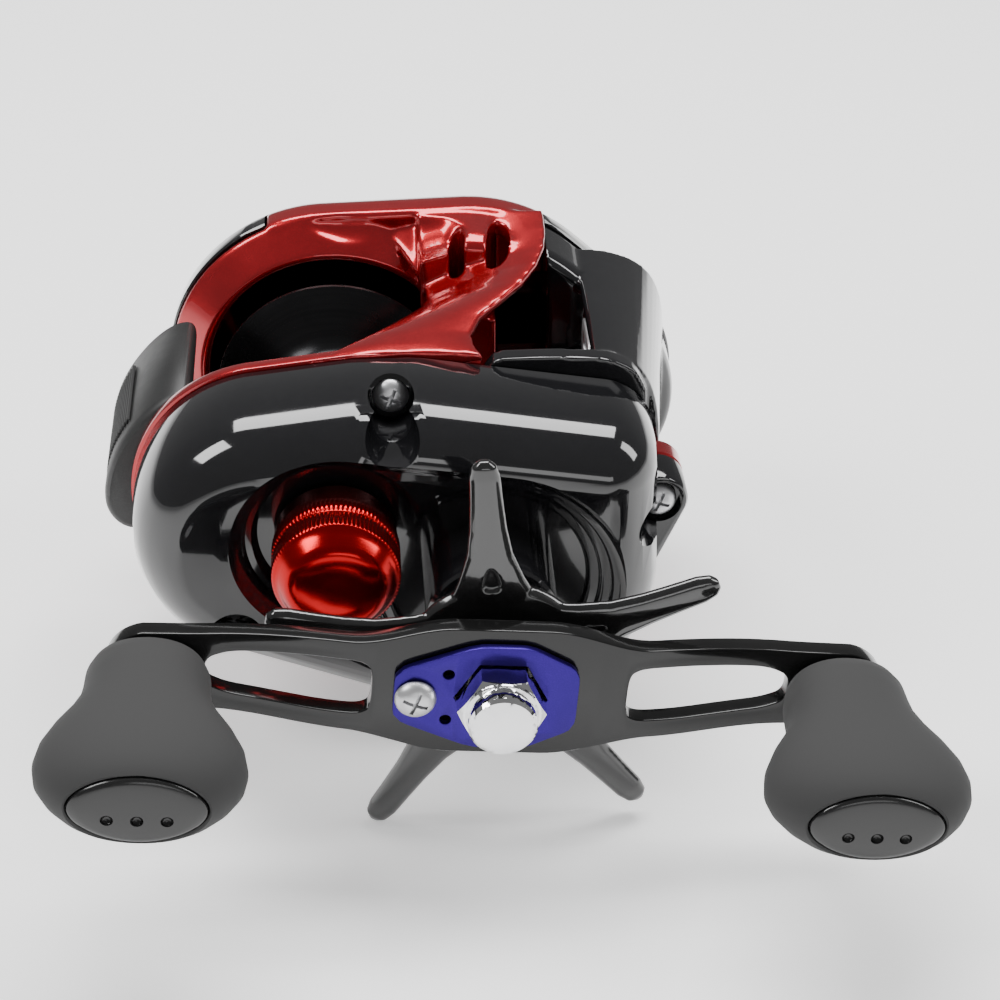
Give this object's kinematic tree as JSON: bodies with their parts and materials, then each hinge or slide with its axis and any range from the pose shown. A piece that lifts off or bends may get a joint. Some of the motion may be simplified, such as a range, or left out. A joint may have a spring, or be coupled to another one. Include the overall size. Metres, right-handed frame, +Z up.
{
  "type": "baitcasting reel",
  "caption": "Low-profile baitcasting fishing reel: spool between frame walls, thumb bar, level-wind guide, star drag wheel and a two-knob crank handle.",
  "frame": {"origin": "centre of the reel foot's flat underside, where it meets the rod's reel seat", "axes": "+X forwards to the rod tip, +Y to the palm side, -Y to the handle side, +Z up away from the rod"},
  "size_m": [0.1158, 0.1109, 0.0596],
  "materials": {
    "frame_red": "metallic gloss",
    "cover_black": "gloss",
    "foot_metal": "satin",
    "handle_black": "satin gloss black anodised",
    "star_black": "gloss black",
    "retainer_purple": "anodised satin",
    "cap_red": "anodised gloss",
    "nut_chrome": "polished",
    "steel": "turned",
    "gear_brass": "machined",
    "spool_black": "satin black anodised",
    "rotor_metal": "turned",
    "plastic_black": "satin",
    "thumb_bar_grey": "fine texture",
    "knob_rubber": "matt",
    "knob_cap_gloss": "gloss",
    "drag_carbon": "woven"
  },
  "bodies": {
    "frame": {"frame": "frame_red", "reel_foot": "foot_metal", "foot_screw_front": "steel", "foot_screw_rear": "steel", "handle_side_cover": "cover_black", "cover_screw_top": "steel", "cover_screw_low": "steel", "cover_screw_front": "steel", "front_cover": "cover_black", "guide_bar": "steel", "spool_bearing_handle": "steel", "drive_bearing_inner": "steel", "drive_bearing_outer": "steel", "one_way_bearing": "steel", "yoke_post_upper": "steel", "yoke_post_lower": "steel"},
    "palm_cover": {"palm_side_cover": "cover_black", "magnet_holder": "plastic_black", "spool_bearing_palm": "steel"},
    "brake_dial": {"brake_dial": "plastic_black"},
    "handle": {"drive_shaft": "steel", "drive_gear": "gear_brass", "drag_washer": "drag_carbon", "drag_plate": "steel", "ratchet": "steel", "worm_drive_cog": "plastic_black", "one_way_sleeve": "steel", "drag_spring_washer": "steel", "handle_arm": "handle_black", "handle_retainer": "retainer_purple", "retainer_screw": "steel", "handle_nut": "nut_chrome", "knob_shaft_front": "steel", "knob_shaft_rear": "steel", "knob_screw_front": "steel", "knob_screw_rear": "steel", "knob_bush_front": "gear_brass", "knob_bush_rear": "gear_brass"},
    "knob_front": {"knob_front": "knob_rubber", "knob_cap_front": "knob_cap_gloss"},
    "knob_rear": {"knob_rear": "knob_rubber", "knob_cap_rear": "knob_cap_gloss"},
    "star": {"star_drag": "star_black"},
    "spool": {"spool": "spool_black", "spool_shaft": "steel", "spool_pin": "steel", "spool_rotor": "rotor_metal"},
    "yoke": {"pinion_yoke": "plastic_black"},
    "pinion": {"pinion_gear": "gear_brass"},
    "thumb_bar": {"thumb_bar": "thumb_bar_grey", "clutch_plate": "steel"},
    "worm": {"worm_shaft": "steel", "worm_cog": "plastic_black"},
    "line_guide": {"line_guide": "plastic_black", "t_guide_pin": "steel"},
    "t_guide": {"t_guide": "steel"},
    "cast_control": {"cast_control_cap": "cap_red", "cast_control_spacer": "gear_brass"}
  },
  "joints": [
    {"name": "handle_turn", "type": "hinge", "parent": "frame", "child": "handle", "pos_m": [0.01672, -0.05, 0.01588], "axis": [0, 1, 0], "continuous": true},
    {"name": "knob_front_spin", "type": "hinge", "parent": "handle", "child": "knob_front", "pos_m": [0.06157, -0.06, 0.01227], "axis": [0, 1, 0], "continuous": true},
    {"name": "knob_rear_spin", "type": "hinge", "parent": "handle", "child": "knob_rear", "pos_m": [-0.02814, -0.06, 0.01949], "axis": [0, 1, 0], "continuous": true},
    {"name": "star_turn", "type": "hinge", "parent": "handle", "child": "star", "pos_m": [0.01672, -0.046, 0.01588], "axis": [0, 1, 0], "range_deg": [-180, 180]},
    {"name": "spool_spin", "type": "hinge", "parent": "frame", "child": "spool", "pos_m": [-0.004, 0, 0.024], "axis": [0, 1, 0], "continuous": true},
    {"name": "thumb_bar_press", "type": "slide", "parent": "frame", "child": "thumb_bar", "axis": [0, 0, -1], "range_m": [0, 0.004]},
    {"name": "yoke_slide", "type": "slide", "parent": "frame", "child": "yoke", "axis": [0, -1, 0], "range_m": [0, 0.0012]},
    {"name": "pinion_spin", "type": "hinge", "parent": "yoke", "child": "pinion", "pos_m": [-0.004, -0.019, 0.024], "axis": [0, 1, 0], "continuous": true},
    {"name": "worm_spin", "type": "hinge", "parent": "frame", "child": "worm", "pos_m": [0.03049, 0, 0.02009], "axis": [0, 1, 0], "continuous": true},
    {"name": "line_guide_slide", "type": "slide", "parent": "frame", "child": "line_guide", "axis": [0, 1, 0], "range_m": [-0.005, 0.005]},
    {"name": "t_guide_flip", "type": "hinge", "parent": "line_guide", "child": "t_guide", "pos_m": [0.03269, 0, 0.02509], "axis": [0, -1, 0], "range_deg": [0, 15]},
    {"name": "cast_control_turn", "type": "hinge", "parent": "frame", "child": "cast_control", "pos_m": [-0.004, -0.035, 0.024], "axis": [0, 1, 0], "range_deg": [-180, 180]},
    {"name": "palm_cover_release", "type": "slide", "parent": "frame", "child": "palm_cover", "axis": [0, 1, 0], "range_m": [0, 0.03]},
    {"name": "brake_dial_turn", "type": "hinge", "parent": "palm_cover", "child": "brake_dial", "pos_m": [-0.004, 0.029, 0.024], "axis": [0, 1, 0], "range_deg": [-150, 150]}
  ],
  "couplings": [
    {"joint": "spool_spin", "follows": "handle_turn", "ratio": -8.1},
    {"joint": "pinion_spin", "follows": "handle_turn", "ratio": -8.1},
    {"joint": "worm_spin", "follows": "handle_turn", "ratio": -1.4},
    {"joint": "yoke_slide", "follows": "thumb_bar_press", "ratio": 0.3},
    {"joint": "t_guide_flip", "follows": "thumb_bar_press", "rad_per_m": 65.4}
  ]
}
